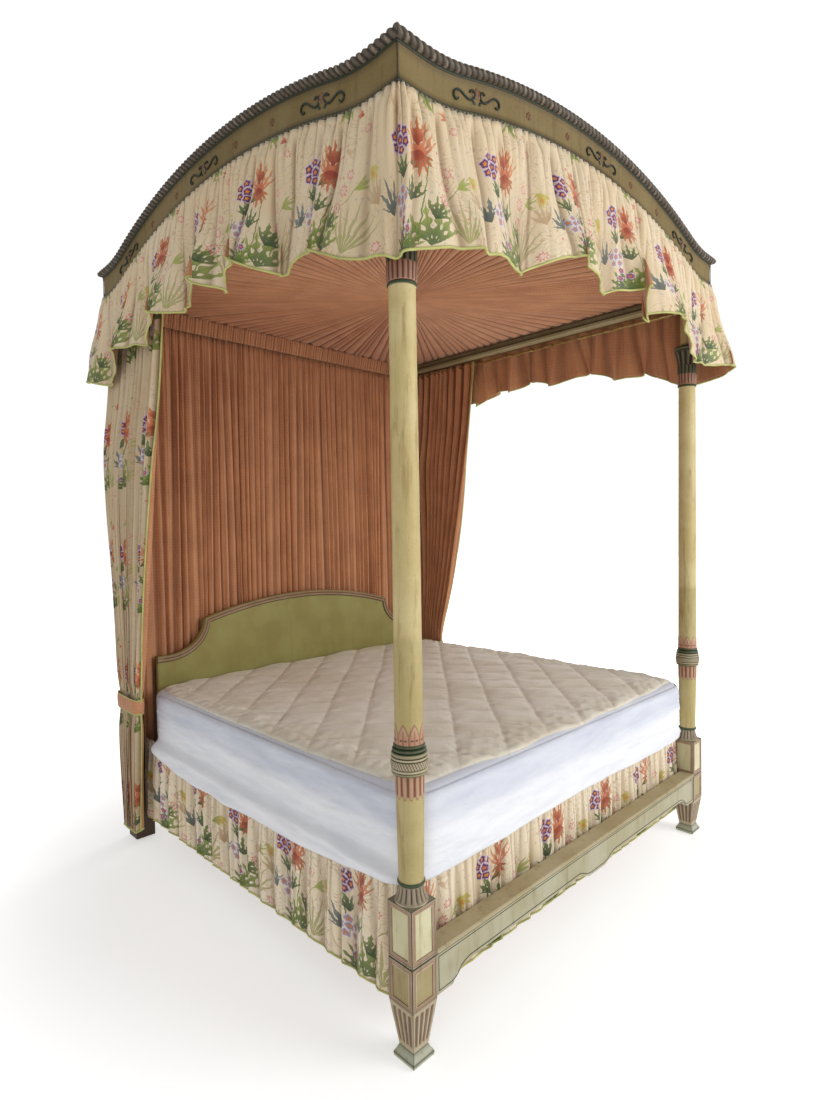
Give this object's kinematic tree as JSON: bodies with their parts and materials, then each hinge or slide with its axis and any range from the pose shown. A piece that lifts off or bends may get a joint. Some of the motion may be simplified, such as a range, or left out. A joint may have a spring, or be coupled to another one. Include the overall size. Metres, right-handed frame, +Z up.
{
  "type": "four poster canopy bed",
  "caption": "Four poster canopy bed with painted turned foot posts, an arched cornice, gathered floral valance and skirt, sunburst ceiling, headboard and side curtains that draw.",
  "frame": {"origin": "on the floor, at the middle of the bed's plan", "axes": "+Z up, +Y from the foot towards the head, +X to the right of someone who faces the head from the foot"},
  "size_m": [2.3966, 2.4366, 3.176],
  "materials": {
    "celery_paint": "aged celery green paint, glazed and chipped",
    "brown_stain": "dark brown stain",
    "olive_paint": "satin olive green paint",
    "olive_frieze": "olive frieze with painted scrolls and a dark carved moulding",
    "tan_moulding": "tan and rose glazed moulding",
    "plain_timber": "bare timber",
    "steel": "plain",
    "aged_brass": "aged",
    "floral_chintz": "printed glazed cotton",
    "terracotta_lining": "small print cotton",
    "white_ticking": "white knitted cover",
    "cream_quilting": "diamond quilted pad"
  },
  "bodies": {
    "bed": {"foot_post_lower_left": "celery_paint", "foot_post_upper_left": "celery_paint", "head_post_lower_left": "brown_stain", "head_post_upper_left": "brown_stain", "side_rail_left": "plain_timber", "slat_cleat_left": "plain_timber", "tester_rail_left": "plain_timber", "tester_pin_foot_left": "steel", "tester_pin_head_left": "steel", "curtain_rod_left": "aged_brass", "bed_skirt_left": "floral_chintz", "foot_post_lower_right": "celery_paint", "foot_post_upper_right": "celery_paint", "head_post_lower_right": "brown_stain", "head_post_upper_right": "brown_stain", "side_rail_right": "plain_timber", "slat_cleat_right": "plain_timber", "tester_rail_right": "plain_timber", "tester_pin_foot_right": "steel", "tester_pin_head_right": "steel", "curtain_rod_right": "aged_brass", "bed_skirt_right": "floral_chintz", "foot_rail": "celery_paint", "foot_ledge": "celery_paint", "head_rail": "plain_timber", "centre_beam": "plain_timber", "centre_leg_foot": "plain_timber", "centre_leg_head": "plain_timber", "tester_rail_foot": "plain_timber", "tester_rail_head": "plain_timber", "tester_stretcher": "plain_timber", "slat_1": "plain_timber", "slat_2": "plain_timber", "slat_3": "plain_timber", "slat_4": "plain_timber", "slat_5": "plain_timber", "slat_6": "plain_timber", "headboard_panel": "olive_paint", "headboard_moulding": "tan_moulding", "box_spring": "white_ticking", "mattress": "white_ticking", "mattress_pad": "cream_quilting", "bed_skirt_foot": "floral_chintz", "cornice_foot": "olive_frieze", "valance_foot": "floral_chintz", "cornice_right": "olive_frieze", "valance_right": "floral_chintz", "cornice_head": "olive_frieze", "valance_head": "floral_chintz", "cornice_left": "olive_frieze", "valance_left": "floral_chintz", "ceiling_lining": "terracotta_lining", "ceiling_rosette": "terracotta_lining", "head_curtain": "terracotta_lining", "curtain_rod_head": "aged_brass"},
    "curtain_left": {"side_curtain_left": "floral_chintz", "tie_band_left": "terracotta_lining"},
    "curtain_right": {"side_curtain_right": "floral_chintz", "tie_band_right": "terracotta_lining"}
  },
  "joints": [
    {"name": "curtain_left_draw", "type": "slide", "parent": "bed", "child": "curtain_left", "axis": [0, -1, 0], "range_m": [0, 1.3]},
    {"name": "curtain_right_draw", "type": "slide", "parent": "bed", "child": "curtain_right", "axis": [0, -1, 0], "range_m": [0, 1.3]}
  ]
}
